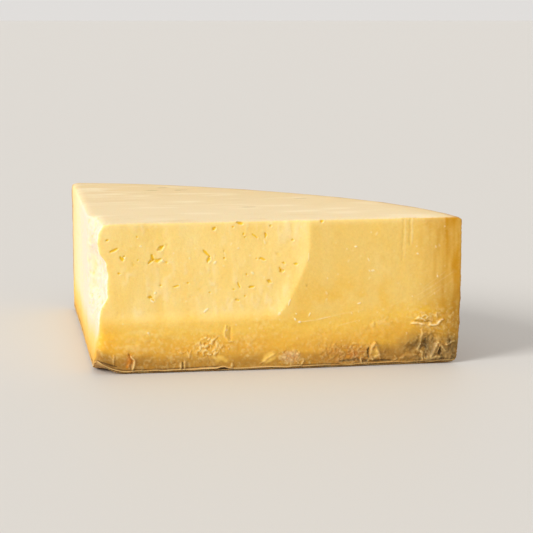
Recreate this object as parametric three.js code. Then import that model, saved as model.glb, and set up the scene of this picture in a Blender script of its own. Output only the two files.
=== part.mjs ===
// A wedge cut from a low, round wheel of firm cheese, lying on its lower rind.
//
// Millimetres, +Z up. The front cut face runs along +X and looks towards -Y, the left cut face
// runs along +Y and looks towards -X, and the rind of the wheel closes the far side. The wedge
// rests on Z = 0, with the origin below the middle of its box.

import * as THREE from 'three';

const { clamp, degToRad, lerp, smoothstep } = THREE.MathUtils;

// Driving dimensions
const HEIGHT = 80;                    // thickness of the wheel
const FRONT_LENGTH = 191.2;            // front cut, from the tip to the rind
const LEFT_LENGTH = 192;              // left cut, from the tip to the rind
const TIP_ANGLE = degToRad(93.6);     // angle between the two cuts, seen from above
const WHEEL_RADIUS = 241;             // outer radius of the wheel

// Edges: how far each one is rounded in, and over what height
const FOOT = { height: 4, front: 0.8, left: 1.2, heel: 4 };
const SHOULDER = { height: 2.6, front: 0.9, left: 2.4, heel: 5.6 };

// The rind wall bulges at mid height and draws in towards the foot
const BELLY_HEIGHT = 50;
const BELLY_DRAW = 2.3;

// The left cut swells outwards from the rind to the tip, and a piece has chipped off its near end.
// The chip is a share of the swell at each height: a nib stands below the top corner, and a
// hollow below the nib.
const LEFT_SWELL = { out: 7.2, farShare: 0.06, power: 1.2 };
const CHIP_END = { from: 29, to: 43 };
const CHIP_EDGE = [
  { z: 0, share: 0 }, { z: 10, share: 0.1 }, { z: 22, share: 0.28 }, { z: 35, share: 0.52 },
  { z: 41, share: 1.04 }, { z: 46, share: 0.98 }, { z: 52, share: 1.1 }, { z: 59, share: 0.97 },
  { z: 64, share: 0.5 }, { z: 70, share: 0.3 }, { z: 75, share: 0.45 }, { z: 80, share: 0.86 },
];

// The front face is scooped between the tip and a curved ridge, above a low step
const SCOOP = { depth: 1.3, ridge: 107.6, ridgeWidth: 11, floor: 33, floorWidth: 7 };
const RIDGE_SWEEP = { back: 38, height: 66, power: 1.5 };
const SCOOP_AT_TIP = { share: 0.4, length: 30 };
const FRONT_SWELL = { out: 1.4, centre: 100, spread: 48, height: 26 };

// The top sinks a little towards the middle of the rind, and rises towards both ends of it. The
// foot of the tip curls up off the table.
const TOP_DIP = { depth: 0.9, from: 60, to: 190 };
const TOP_RISE = { front: 0.4, left: 1.6 };
const TIP_CURL = { x: -7.2, lift: 6.4, reach: 16.5, power: 1.6, height: 25 };

// Mesh steps
const FRONT_STEPS = 36;
const HEEL_STEPS = 30;
const LEFT_STEPS = 36;
const WALL_STEPS = 12;
const EDGE_STEPS = 3;
const BASE_RINGS = [0.3, 0.65, 0.9];
const TOP_RINGS = [0.96, 0.82, 0.6, 0.3];

// Plan, with the tip at the origin
const LEFT_ALONG = new THREE.Vector2(Math.cos(TIP_ANGLE), Math.sin(TIP_ANGLE));
const LEFT_OUT = new THREE.Vector2(-LEFT_ALONG.y, LEFT_ALONG.x);
const FRONT_OUT = new THREE.Vector2(0, -1);
const FRONT_END = new THREE.Vector2(FRONT_LENGTH, 0);
const LEFT_END = LEFT_ALONG.clone().multiplyScalar(LEFT_LENGTH);
const WHEEL_CENTRE = wheelCentre();
const PLAN_MIDDLE = FRONT_END.clone().add(LEFT_END).multiplyScalar(0.42);

// The centre of the circle of the wheel's radius through the far ends of both cuts
function wheelCentre() {
  const chord = LEFT_END.clone().sub(FRONT_END);
  const halfChord = chord.length() / 2;
  const outward = new THREE.Vector2(chord.y, -chord.x).normalize();
  const distance = Math.sqrt(WHEEL_RADIUS ** 2 - halfChord ** 2);
  return FRONT_END.clone().add(LEFT_END).multiplyScalar(0.5).addScaledVector(outward, -distance);
}

function bump(value, centre, spread) {
  return Math.exp(-(((value - centre) / spread) ** 2));
}

// The share of the swell that has chipped off at the tip, by height
function chipShare(z) {
  const above = CHIP_EDGE.findIndex((knot) => knot.z >= z);
  if (above < 1) return above === 0 ? CHIP_EDGE[0].share : CHIP_EDGE[CHIP_EDGE.length - 1].share;
  const from = CHIP_EDGE[above - 1];
  const to = CHIP_EDGE[above];
  return lerp(from.share, to.share, (z - from.z) / (to.z - from.z));
}

// How far the left face stands out, at a distance from the tip and a height
function leftRelief(along, z) {
  const left = Math.max(0, 1 - along / LEFT_LENGTH) ** LEFT_SWELL.power;
  const swell = LEFT_SWELL.out * lerp(LEFT_SWELL.farShare, 1, left);
  const nearTip = 1 - smoothstep(along, CHIP_END.from, CHIP_END.to);
  return swell * (1 - chipShare(z) * nearTip);
}

// How far the front face stands out, at a distance from the tip and a height
function frontRelief(along, z) {
  const below = Math.max(0, 1 - z / RIDGE_SWEEP.height);
  const ridge = SCOOP.ridge - RIDGE_SWEEP.back * below ** RIDGE_SWEEP.power;
  const upRidge = 1 - clamp((ridge - along) / SCOOP.ridgeWidth, 0, 1);
  const besideRidge = 1 - upRidge ** 2;
  const aboveFloor = smoothstep(z, SCOOP.floor - SCOOP.floorWidth, SCOOP.floor);
  const awayFromTip = lerp(SCOOP_AT_TIP.share, 1, smoothstep(along, 0, SCOOP_AT_TIP.length));
  const scoop = SCOOP.depth * besideRidge * aboveFloor * awayFromTip;
  const low = 1 - smoothstep(z, 0, FRONT_SWELL.height);
  const swell = FRONT_SWELL.out * bump(along, FRONT_SWELL.centre, FRONT_SWELL.spread) * low;
  return swell - scoop;
}

function bellyInset(z) {
  return BELLY_DRAW * Math.max(0, 1 - z / BELLY_HEIGHT) ** 2;
}

// Where the top lies above or below its mean height
function topRelief(x, y) {
  const distance = Math.hypot(x, y);
  const bearing = clamp(Math.atan2(y, x) / TIP_ANGLE, 0, 1);
  const outer = smoothstep(distance, TOP_DIP.from, TOP_DIP.to);
  const dip = TOP_DIP.depth * Math.sin(Math.PI * bearing) ** 2;
  return outer * (lerp(TOP_RISE.front, TOP_RISE.left, bearing) - dip);
}

// How far the foot of the tip lifts off the table
function tipCurl(x, y, z) {
  const near = Math.max(0, 1 - Math.hypot(x - TIP_CURL.x, y) / TIP_CURL.reach);
  const low = Math.max(0, 1 - z / TIP_CURL.height);
  return TIP_CURL.lift * near ** TIP_CURL.power * low;
}

// One level of the wall: its height and how far each face is drawn in there
function footLevel(angle) {
  const inward = 1 - Math.sin(angle);
  const z = FOOT.height * (1 - Math.cos(angle));
  return { z, front: FOOT.front * inward, left: FOOT.left * inward, heel: FOOT.heel * inward };
}

function shoulderLevel(angle) {
  const inward = 1 - Math.cos(angle);
  const z = HEIGHT - SHOULDER.height * (1 - Math.sin(angle));
  return { z, front: SHOULDER.front * inward, left: SHOULDER.left * inward, heel: SHOULDER.heel * inward };
}

function wallLevels() {
  const levels = [];
  for (let step = 0; step < EDGE_STEPS; step += 1) {
    levels.push(footLevel((step / EDGE_STEPS) * (Math.PI / 2)));
  }
  for (let step = 0; step <= WALL_STEPS; step += 1) {
    const z = lerp(FOOT.height, HEIGHT - SHOULDER.height, step / WALL_STEPS);
    levels.push({ z, front: 0, left: 0, heel: 0 });
  }
  for (let step = 1; step <= EDGE_STEPS; step += 1) {
    levels.push(shoulderLevel((step / EDGE_STEPS) * (Math.PI / 2)));
  }
  return levels;
}

// The three corners of one level: at the tip and at the far end of each cut
function cornersOf(level) {
  const radius = WHEEL_RADIUS - level.heel - bellyInset(level.z);
  const tipY = level.front - frontRelief(0, level.z);
  const tipOut = leftRelief(0, level.z) - level.left;
  const tip = new THREE.Vector2((tipOut - tipY * LEFT_OUT.y) / LEFT_OUT.x, tipY);

  const frontY = level.front - frontRelief(FRONT_LENGTH, level.z);
  const reach = Math.sqrt(radius ** 2 - (frontY - WHEEL_CENTRE.y) ** 2);
  const front = new THREE.Vector2(WHEEL_CENTRE.x + reach, frontY);

  const start = LEFT_OUT.clone().multiplyScalar(leftRelief(LEFT_LENGTH, level.z) - level.left);
  const fromCentre = start.clone().sub(WHEEL_CENTRE);
  const middle = -fromCentre.dot(LEFT_ALONG);
  const along = middle + Math.sqrt(middle ** 2 - fromCentre.lengthSq() + radius ** 2);
  const left = start.addScaledVector(LEFT_ALONG, along);
  return { radius, tip, front, left };
}

// The outline of one level, anticlockwise from the tip
function outlineOf(level) {
  const { radius, tip, front, left } = cornersOf(level);
  const points = [];
  for (let step = 0; step < FRONT_STEPS; step += 1) {
    const share = step / FRONT_STEPS;
    const straight = lerp(frontRelief(0, level.z), frontRelief(FRONT_LENGTH, level.z), share);
    const relief = frontRelief(share * FRONT_LENGTH, level.z) - straight;
    points.push(tip.clone().lerp(front, share).addScaledVector(FRONT_OUT, relief));
  }
  const fromAngle = front.clone().sub(WHEEL_CENTRE).angle();
  const toAngle = left.clone().sub(WHEEL_CENTRE).angle();
  for (let step = 0; step < HEEL_STEPS; step += 1) {
    const angle = lerp(fromAngle, toAngle, step / HEEL_STEPS);
    const spoke = new THREE.Vector2(Math.cos(angle), Math.sin(angle));
    points.push(WHEEL_CENTRE.clone().addScaledVector(spoke, radius));
  }
  for (let step = 0; step < LEFT_STEPS; step += 1) {
    const share = 1 - step / LEFT_STEPS;
    const straight = lerp(leftRelief(0, level.z), leftRelief(LEFT_LENGTH, level.z), share);
    const relief = leftRelief(share * LEFT_LENGTH, level.z) - straight;
    points.push(tip.clone().lerp(left, share).addScaledVector(LEFT_OUT, relief));
  }
  return points;
}

// Lifts a plan point to its height, with the top's relief and the curl at the tip
function placed(point, z) {
  const relief = topRelief(point.x, point.y) * (z / HEIGHT) ** 6;
  return new THREE.Vector3(point.x, point.y, z + relief + tipCurl(point.x, point.y, z));
}

function ring(outline, z, scale) {
  return outline.map((point) => placed(PLAN_MIDDLE.clone().lerp(point, scale), z));
}

// Every ring from the middle of the base, up the wall, to the middle of the top
function wedgeRings() {
  const levels = wallLevels();
  const base = outlineOf(levels[0]);
  const top = outlineOf(levels[levels.length - 1]);
  const rings = BASE_RINGS.map((scale) => ring(base, 0, scale));
  for (const level of levels) {
    rings.push(ring(outlineOf(level), level.z, 1));
  }
  for (const scale of TOP_RINGS) {
    rings.push(ring(top, HEIGHT, scale));
  }
  return rings;
}

// A closed skin over a stack of rings, with a point at either end
function skinOver(rings, bottomPoint, topPoint) {
  const count = rings[0].length;
  const vertices = [bottomPoint, ...rings.flat(), topPoint];
  const last = vertices.length - 1;
  const topRing = last - count;
  const indices = [];
  for (let step = 0; step < count; step += 1) {
    const next = (step + 1) % count;
    indices.push(0, 1 + next, 1 + step);
    indices.push(last, topRing + step, topRing + next);
    for (let level = 0; level < rings.length - 1; level += 1) {
      const lower = 1 + level * count;
      const upper = lower + count;
      indices.push(lower + step, lower + next, upper + next);
      indices.push(lower + step, upper + next, upper + step);
    }
  }
  const geometry = new THREE.BufferGeometry().setFromPoints(vertices);
  geometry.setIndex(indices);
  return geometry;
}

// Moves the origin below the middle of the box, on the table
function centreOnTable(geometry) {
  geometry.computeBoundingBox();
  const middle = geometry.boundingBox.getCenter(new THREE.Vector3());
  geometry.translate(-middle.x, -middle.y, -geometry.boundingBox.min.z);
  geometry.computeVertexNormals();
  return geometry;
}

function cheeseWedge() {
  const geometry = skinOver(wedgeRings(), placed(PLAN_MIDDLE, 0), placed(PLAN_MIDDLE, HEIGHT));
  const paste = new THREE.MeshStandardMaterial({ color: 0xf2d287, roughness: 0.55, metalness: 0 });
  const wedge = new THREE.Mesh(centreOnTable(geometry), paste);
  wedge.name = 'cheese_wedge';
  return wedge;
}

const cheese = new THREE.Group();
cheese.add(cheeseWedge());

export default cheese;
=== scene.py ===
"""A wedge of firm mountain cheese, lying on its lower rind in soft light from the left."""

import math

import bpy
import numpy as np
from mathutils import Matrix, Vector
from mathutils.geometry import delaunay_2d_cdt


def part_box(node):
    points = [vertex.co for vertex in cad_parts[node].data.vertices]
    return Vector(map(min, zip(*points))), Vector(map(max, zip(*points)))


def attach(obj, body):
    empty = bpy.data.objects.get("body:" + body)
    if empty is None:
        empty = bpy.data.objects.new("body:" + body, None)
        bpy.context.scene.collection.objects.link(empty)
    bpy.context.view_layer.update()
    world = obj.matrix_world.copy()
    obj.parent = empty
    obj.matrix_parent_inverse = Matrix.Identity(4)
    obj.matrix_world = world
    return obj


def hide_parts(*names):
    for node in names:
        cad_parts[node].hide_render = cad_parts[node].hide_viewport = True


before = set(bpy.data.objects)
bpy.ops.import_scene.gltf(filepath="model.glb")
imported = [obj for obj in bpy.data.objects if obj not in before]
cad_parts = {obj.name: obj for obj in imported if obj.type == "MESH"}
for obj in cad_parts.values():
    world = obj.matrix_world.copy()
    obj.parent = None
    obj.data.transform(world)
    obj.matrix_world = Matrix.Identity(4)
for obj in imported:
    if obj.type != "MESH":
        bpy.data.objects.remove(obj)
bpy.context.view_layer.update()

# Everything about the wedge is in millimetres, with the tip's top corner above (0, 0). The front
# cut runs along +X and looks towards -Y, the left cut runs along +Y and looks towards -X.
MM = 0.001
HEIGHT = 80
FRONT_LENGTH = 191.2
LEFT_LENGTH = 192
TIP_ANGLE = math.radians(93.6)
WHEEL_RADIUS = 241

LEFT_ALONG = np.array([math.cos(TIP_ANGLE), math.sin(TIP_ANGLE)])
LEFT_OUT = np.array([-LEFT_ALONG[1], LEFT_ALONG[0]])
_, BOX_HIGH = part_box("cheese_wedge")
TIP_IN_FRAME = Vector((BOX_HIGH.x - FRONT_LENGTH * MM, BOX_HIGH.y - LEFT_LENGTH * LEFT_ALONG[1] * MM, 0))

# The sizes are the CAD model's, apart from the foot of the tip. Edges of the rind wall:
FOOT_HEIGHT, FOOT_INSET = 4, 4
SHOULDER_HEIGHT, SHOULDER_INSET = 2.6, 5.6
BELLY_HEIGHT, BELLY_DRAW = 50, 2.3

# The left cut swells out towards the tip, where a piece has chipped off the swell
LEFT_SWELL, SWELL_AT_RIND, SWELL_POWER = 7.2, 0.06, 1.2
CHIP_FROM, CHIP_TO = 29, 43

# The front cut is scooped out between the tip and a curved ridge, above a low step
SCOOP_DEPTH, SCOOP_AT_TIP, SCOOP_FULL_AT = 1.3, 0.4, 30
SCOOP_FLOOR, FLOOR_WIDTH = 33, 7
RIDGE_TOP, RIDGE_WIDTH = 107.6, 11
RIDGE_SWEEP, RIDGE_HEIGHT, RIDGE_POWER = 38, 66, 1.5
FOOT_SWELL, FOOT_SWELL_AT, FOOT_SWELL_SPREAD, FOOT_SWELL_HEIGHT = 1.4, 100, 48, 26

# The top rises towards both ends of the rind and dips between them
TOP_RISE_FRONT, TOP_RISE_LEFT, TOP_DIP = 0.4, 1.6, 0.9
TOP_FLAT_TO, TOP_FULL_AT = 60, 190

# The foot of the tip curls up off the table, a little higher than in the CAD model, and its
# corner is worn rounder
CURL_X, CURL_LIFT, CURL_REACH, CURL_HEIGHT = -7.2, 8, 16.5, 25
TIP_ROUNDING, ROUND_BELOW, SHARP_ABOVE = 5, 18, 32

# Mesh steps of each face, finer where there is fine detail
FRONT_STEP, FRONT_FINE_STEP = 0.85, 0.42
LEFT_STEP, LEFT_FINE_STEP, LEFT_FINE_TO = 1.15, 0.75, 46
RIND_STEP, TOP_STEP, BASE_STEP = 1.5, 1.5, 3.2
PROFILE_STEP, TIP_EDGE_STEP = 0.9, 0.75
FRONT_EDGE_STEP, LEFT_EDGE_STEP, WHEEL_EDGE_STEP = 0.7, 1, 1.4


# ---------------------------------------------------------------- numbers and noise

def smooth(value, start, end):
    """0 before start, 1 after end, and an S-shaped ramp between."""
    share = np.clip((value - start) / (end - start), 0, 1)
    return share * share * (3 - 2 * share)


def fade(value, start, end):
    """1 before start, 0 after end, and an S-shaped ramp between."""
    return 1 - smooth(value, start, end)


def bump(value, centre, spread):
    return np.exp(-(((value - centre) / spread) ** 2))


def mix(low, high, share):
    return low + (high - low) * share


def hashed(cell, seed):
    """A number from 0 to 1 for each whole-number cell, the same on every run."""
    x, y, z = (cell[..., axis].astype(np.int64) for axis in range(3))
    code = (x * 73856093) ^ (y * 19349663) ^ (z * 83492791) ^ (seed * 374761393)
    code = ((code ^ (code >> 15)) * 668265263) & 0xFFFFFFFF
    code = ((code ^ (code >> 13)) * 1274126177) & 0xFFFFFFFF
    return (code ^ (code >> 16)) / 0xFFFFFFFF


def noise(points, size, seed):
    """Smooth noise from -1 to 1 with lumps of the given size."""
    scaled = points / size
    cell = np.floor(scaled)
    part = scaled - cell
    part = part * part * (3 - 2 * part)
    total = 0
    for corner in np.ndindex(2, 2, 2):
        step = np.array(corner)
        weight = np.prod(np.where(step == 1, part, 1 - part), axis=-1)
        total = total + weight * hashed(cell + step, seed)
    return total * 2 - 1


def layered(points, size, octaves, seed):
    """Noise with finer and weaker layers on top."""
    total = 0
    for octave in range(octaves):
        total = total + noise(points, size / 2 ** octave, seed + octave) / 2 ** octave
    return total / 1.5


def drawn_out(points, x=1, y=1, z=1):
    """The points with their axes scaled: below 1, noise on them comes out long in that direction."""
    return points * np.array([x, y, z])


def crumbs(points, size, seed):
    """Distance to the nearest and second nearest of scattered points, as shares of their spacing."""
    scaled = points / size
    cell = np.floor(scaled)
    nearest = np.full(len(points), 9)
    second = np.full(len(points), 9)
    for corner in np.ndindex(3, 3, 3):
        there = cell + np.array(corner) - 1
        place = there + np.stack([hashed(there, seed + axis) for axis in range(3)], axis=-1)
        distance = np.linalg.norm(scaled - place, axis=-1)
        second = np.minimum(second, np.maximum(nearest, distance))
        nearest = np.minimum(nearest, distance)
    return nearest, second


# ---------------------------------------------------------------- the wedge's plain shape

def wheel_centre():
    """The middle of the wheel that the wedge was cut from."""
    front_end = np.array([FRONT_LENGTH, 0])
    left_end = LEFT_ALONG * LEFT_LENGTH
    chord = left_end - front_end
    length = np.linalg.norm(chord)
    outward = np.array([chord[1], -chord[0]]) / length
    return (front_end + left_end) / 2 - outward * math.sqrt(WHEEL_RADIUS ** 2 - (length / 2) ** 2)


WHEEL_CENTRE = wheel_centre()


# The share of the left cut's swell that has chipped off at the tip, by height
CHIP_EDGE = (
    (0, 0), (10, 0.1), (22, 0.28), (35, 0.52), (41, 1.04), (46, 0.98),
    (52, 1.1), (59, 0.97), (64, 0.5), (70, 0.3), (75, 0.45), (80, 0.86),
)


def chip_share(z):
    heights, chipped = zip(*CHIP_EDGE)
    return np.interp(z, heights, chipped)


def left_relief(along, z):
    """How far the left face stands out."""
    left = np.clip(1 - along / LEFT_LENGTH, 0, 1.2) ** SWELL_POWER
    swell = LEFT_SWELL * mix(SWELL_AT_RIND, 1, left)
    return swell * (1 - chip_share(z) * fade(along, CHIP_FROM, CHIP_TO))


def ridge_at(z):
    """Where the curved ridge crosses the front face, measured from the tip."""
    below = np.clip(1 - z / RIDGE_HEIGHT, 0, 1)
    return RIDGE_TOP - RIDGE_SWEEP * below ** RIDGE_POWER


def scoop_share(x, z):
    """1 in the scooped part of the front face, 0 outside it."""
    up_ridge = 1 - np.clip((ridge_at(z) - x) / RIDGE_WIDTH, 0, 1)
    return (1 - up_ridge ** 2) * smooth(z, SCOOP_FLOOR - FLOOR_WIDTH, SCOOP_FLOOR)


def front_relief(x, z):
    """How far the front face stands out."""
    scoop = SCOOP_DEPTH * scoop_share(x, z) * mix(SCOOP_AT_TIP, 1, smooth(x, 0, SCOOP_FULL_AT))
    swell = FOOT_SWELL * bump(x, FOOT_SWELL_AT, FOOT_SWELL_SPREAD) * fade(z, 0, FOOT_SWELL_HEIGHT)
    return swell - scoop


def top_relief(x, y):
    """How far the top lies above or below its mean height."""
    bearing = np.clip(np.arctan2(y, x) / TIP_ANGLE, 0, 1)
    rise = mix(TOP_RISE_FRONT, TOP_RISE_LEFT, bearing) - TOP_DIP * np.sin(np.pi * bearing) ** 2
    return rise * smooth(np.hypot(x, y), TOP_FLAT_TO, TOP_FULL_AT)


def tip_curl(x, y, z):
    """How far the foot of the tip lifts off the table."""
    near = np.clip(1 - np.hypot(x - CURL_X, y) / CURL_REACH, 0, 1)
    return CURL_LIFT * near ** 2 * np.clip(1 - z / CURL_HEIGHT, 0, 1)


def wall_profile(spacing):
    """Inset and height of the rind wall from the base, up the wall and over the shoulder."""
    quarter = np.linspace(0, np.pi / 2, 12)
    foot = np.stack([FOOT_INSET * (1 - np.sin(quarter)), FOOT_HEIGHT * (1 - np.cos(quarter))], axis=1)
    wall_z = np.linspace(FOOT_HEIGHT, HEIGHT - SHOULDER_HEIGHT, 40)[1:-1]
    wall = np.stack([np.zeros_like(wall_z), wall_z], axis=1)
    shoulder = np.stack([
        SHOULDER_INSET * (1 - np.cos(quarter)),
        HEIGHT - SHOULDER_HEIGHT * (1 - np.sin(quarter)),
    ], axis=1)
    line = np.concatenate([foot, wall, shoulder])
    line[:, 0] += BELLY_DRAW * np.clip(1 - line[:, 1] / BELLY_HEIGHT, 0, 1) ** 2
    return along_line(line, spacing)


def along_line(line, spacing):
    """Evenly spaced points along a broken line, both ends kept."""
    steps = np.linalg.norm(np.diff(line, axis=0), axis=1)
    reach = np.concatenate([[0], np.cumsum(steps)])
    count = max(2, round(reach[-1] / spacing) + 1)
    places = np.linspace(0, reach[-1], count)
    return np.stack([np.interp(places, reach, line[:, axis]) for axis in range(line.shape[1])], axis=1)


def wheel_x(inset, y):
    """Where the wheel's rind, drawn in by inset, crosses a line of constant y."""
    return WHEEL_CENTRE[0] + np.sqrt((WHEEL_RADIUS - inset) ** 2 - (y - WHEEL_CENTRE[1]) ** 2)


def on_front(x, z):
    return np.stack([x, -front_relief(x, z), z], axis=-1)


def on_left(along, z):
    flat = along[..., None] * LEFT_ALONG + left_relief(along, z)[..., None] * LEFT_OUT
    return np.concatenate([flat, z[..., None]], axis=-1)


def on_wheel(angle, inset, z):
    """A point of the rind wall at an angle about the wheel's middle."""
    radius = WHEEL_RADIUS - inset
    x = WHEEL_CENTRE[0] + radius * np.cos(angle)
    y = WHEEL_CENTRE[1] + radius * np.sin(angle)
    return np.stack([x, y, z], axis=-1)


# ---------------------------------------------------------------- edges between the faces

def tip_edge(spacing):
    """The broken edge where the two cuts meet, from the base up."""
    z = along_line(np.array([[0], [HEIGHT]]), spacing)[:, 0]
    y = -front_relief(np.zeros_like(z), z)
    out = left_relief(np.zeros_like(z), z)
    x = (out - y * LEFT_OUT[1]) / LEFT_OUT[0]
    heights = np.stack([z, np.zeros_like(z), np.zeros_like(z)], axis=1)
    ragged = 0.8 * layered(heights, 4, 3, 5) * smooth(z, 20, 32) * fade(z, 74, 79)
    return np.stack([x + ragged, y, z], axis=1)


def front_rind_edge(profile):
    """The edge between the front cut and the rind wall, from the base up."""
    inset, z = profile[:, 0], profile[:, 1]
    y = -front_relief(np.full_like(z, FRONT_LENGTH), z)
    return np.stack([wheel_x(inset, y), y, z], axis=1)


def left_rind_edge(profile):
    """The edge between the left cut and the rind wall, from the base up."""
    inset, z = profile[:, 0], profile[:, 1]
    start = left_relief(np.full_like(z, LEFT_LENGTH), z)[:, None] * LEFT_OUT
    offset = start - WHEEL_CENTRE
    middle = -(offset @ LEFT_ALONG)
    along = middle + np.sqrt(middle ** 2 - (offset ** 2).sum(axis=1) + (WHEEL_RADIUS - inset) ** 2)
    return np.concatenate([start + along[:, None] * LEFT_ALONG, z[:, None]], axis=1)


def cut_edge(start, end, spacing, out_direction, relief, along_direction):
    """A top or bottom edge of a cut face, between two corners, following the face's relief."""
    line = along_line(np.stack([start, end]), spacing)
    along = line[:, :2] @ along_direction
    wanted = relief(along, line[:, 2])
    have = line[:, :2] @ out_direction
    shift = wanted - have
    shift[0] = 0
    shift[-1] = 0
    line[:, :2] += shift[:, None] * out_direction
    return line


def wheel_edge(start, end, inset, z, spacing):
    """A top or bottom edge of the rind wall, between two corners."""
    first = math.atan2(start[1] - WHEEL_CENTRE[1], start[0] - WHEEL_CENTRE[0])
    last = math.atan2(end[1] - WHEEL_CENTRE[1], end[0] - WHEEL_CENTRE[0])
    count = round((last - first) * WHEEL_RADIUS / spacing) + 1
    angle = np.linspace(first, last, count)
    line = on_wheel(angle, inset, np.full(count, z))
    line[0] = start
    line[-1] = end
    return line


# ---------------------------------------------------------------- sheets of triangles

def inside(points, loop):
    """True for the points inside a closed outline."""
    x, y = points[:, 0][:, None], points[:, 1][:, None]
    ax, ay = loop[:, 0], loop[:, 1]
    bx, by = np.roll(ax, -1), np.roll(ay, -1)
    crossing = (ay > y) != (by > y)
    rise = np.where(by == ay, 1e-9, by - ay)
    left_of = x < ax + (y - ay) * (bx - ax) / rise
    return (crossing & left_of).sum(axis=1) % 2 == 1


def clearance(points, loop):
    """Distance from each point to the nearest point of an outline."""
    offset = points[:, None, :] - loop[None, :, :]
    return np.sqrt((offset ** 2).sum(axis=2).min(axis=1))


def lattice(loop, spacing):
    """A triangular lattice of points inside an outline, half a step clear of it."""
    low, high = loop.min(axis=0), loop.max(axis=0)
    row_gap = spacing * math.sqrt(3) / 2
    rows = np.arange(low[1] + row_gap / 2, high[1] - row_gap / 3, row_gap)
    found = []
    for number, row in enumerate(rows):
        shift = spacing / 2 * (number % 2)
        xs = np.arange(low[0] + shift, high[0], spacing)
        line = np.stack([xs, np.full_like(xs, row)], axis=1)
        line = line[inside(line, loop)]
        if len(line):
            found.append(line[clearance(line, loop) > spacing * 0.55])
    return np.concatenate(found)


def graded_lattice(loop, coarse, fine, wants_fine):
    """A lattice with a finer step wherever wants_fine(points) is true."""
    wide = lattice(loop, coarse)
    narrow = lattice(loop, fine)
    return np.concatenate([wide[~wants_fine(wide)], narrow[wants_fine(narrow)]])


def triangulate(loop, inner):
    """Triangles, as index triples, over an outline and the points inside it."""
    flat = np.concatenate([loop, inner])
    count = len(loop)
    border = [(step, (step + 1) % count) for step in range(count)]
    result = delaunay_2d_cdt([Vector(point) for point in flat.tolist()], border, [], 1, 1e-7)
    if len(result[0]) != len(flat):
        raise ValueError("the outline crosses itself or repeats a point")
    original = np.array([ids[0] for ids in result[3]])
    return original[np.array(result[2])]


class Skin:
    """The sheets of the wedge, gathered one by one and then joined along their shared edges."""

    def __init__(self):
        self.points = []
        self.triangles = []
        self.count = 0

    def add(self, loop_flat, loop_points, inner_flat, inner_points, flip=False):
        triangles = triangulate(loop_flat, inner_flat)
        if flip:
            triangles = triangles[:, ::-1]
        self.points.append(np.concatenate([loop_points, inner_points]))
        self.triangles.append(triangles + self.count)
        self.count += len(loop_points) + len(inner_points)

    def joined(self):
        points = np.concatenate(self.points)
        triangles = np.concatenate(self.triangles)
        key = np.round(points, 3)
        _, first, where = np.unique(key, axis=0, return_index=True, return_inverse=True)
        return points[first], where.reshape(-1)[triangles]


def ring(*lines):
    """One closed outline from lines that meet end to end."""
    return np.concatenate([line[:-1] for line in lines])


def cut_loop(edges, side):
    """The outline of the front or the left cut, from the foot of the tip."""
    base, rind, top = (edges[side + part] for part in ("_base", "_rind", "_top"))
    return ring(base, rind, top[::-1], edges["tip"][::-1])


def front_sheet(skin, edges):
    loop = cut_loop(edges, "front")
    flat = loop[:, [0, 2]]
    inner = graded_lattice(flat, FRONT_STEP, FRONT_FINE_STEP, wants_fine_front)
    skin.add(flat, loop, inner, on_front(inner[:, 0], inner[:, 1]))


def left_sheet(skin, edges):
    loop = cut_loop(edges, "left")
    flat = np.stack([loop[:, :2] @ LEFT_ALONG, loop[:, 2]], axis=1)
    inner = graded_lattice(flat, LEFT_STEP, LEFT_FINE_STEP, lambda points: points[:, 0] < LEFT_FINE_TO)
    skin.add(flat, loop, inner, on_left(inner[:, 0], inner[:, 1]), flip=True)


def rind_sheet(skin, edges, profile):
    reach = np.concatenate([[0], np.cumsum(np.linalg.norm(np.diff(profile, axis=0), axis=1))])
    loop = ring(edges["rind_base"], edges["left_rind"], edges["rind_top"][::-1], edges["front_rind"][::-1])
    angle = np.arctan2(loop[:, 1] - WHEEL_CENTRE[1], loop[:, 0] - WHEEL_CENTRE[0])
    up = np.concatenate([
        np.zeros(len(edges["rind_base"]) - 1),
        reach[:-1],
        np.full(len(edges["rind_top"]) - 1, reach[-1]),
        reach[::-1][:-1],
    ])
    flat = np.stack([angle * WHEEL_RADIUS, up], axis=1)
    inner = lattice(flat, RIND_STEP)
    inset = np.interp(inner[:, 1], reach, profile[:, 0])
    z = np.interp(inner[:, 1], reach, profile[:, 1])
    skin.add(flat, loop, inner, on_wheel(inner[:, 0] / WHEEL_RADIUS, inset, z))


def level_sheet(skin, lines, z, spacing, flip):
    """The flat top or base, inside its three edges."""
    loop = ring(*lines)
    inner = lattice(loop[:, :2], spacing)
    points = np.concatenate([inner, np.full((len(inner), 1), z)], axis=1)
    skin.add(loop[:, :2], loop, inner, points, flip)


def wedge_skin():
    """The points and triangles of the wedge with sharp edges and no fine detail."""
    profile = wall_profile(PROFILE_STEP)
    front_out, front_along = np.array([0, -1]), np.array([1, 0])
    edges = {
        "tip": tip_edge(TIP_EDGE_STEP),
        "front_rind": front_rind_edge(profile),
        "left_rind": left_rind_edge(profile),
    }
    for end, name in ((0, "base"), (-1, "top")):
        tip, front, left = edges["tip"][end], edges["front_rind"][end], edges["left_rind"][end]
        edges["front_" + name] = cut_edge(
            tip, front, FRONT_EDGE_STEP, front_out, front_relief, front_along)
        edges["left_" + name] = cut_edge(
            tip, left, LEFT_EDGE_STEP, LEFT_OUT, left_relief, LEFT_ALONG)
        edges["rind_" + name] = wheel_edge(front, left, *profile[end], WHEEL_EDGE_STEP)
    skin = Skin()
    front_sheet(skin, edges)
    left_sheet(skin, edges)
    rind_sheet(skin, edges, profile)
    top = (edges["front_top"], edges["rind_top"], edges["left_top"][::-1])
    base = (edges["front_base"], edges["rind_base"], edges["left_base"][::-1])
    level_sheet(skin, top, HEIGHT, TOP_STEP, flip=False)
    level_sheet(skin, base, 0, BASE_STEP, flip=True)
    return skin.joined()


# ---------------------------------------------------------------- softened edges

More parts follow.
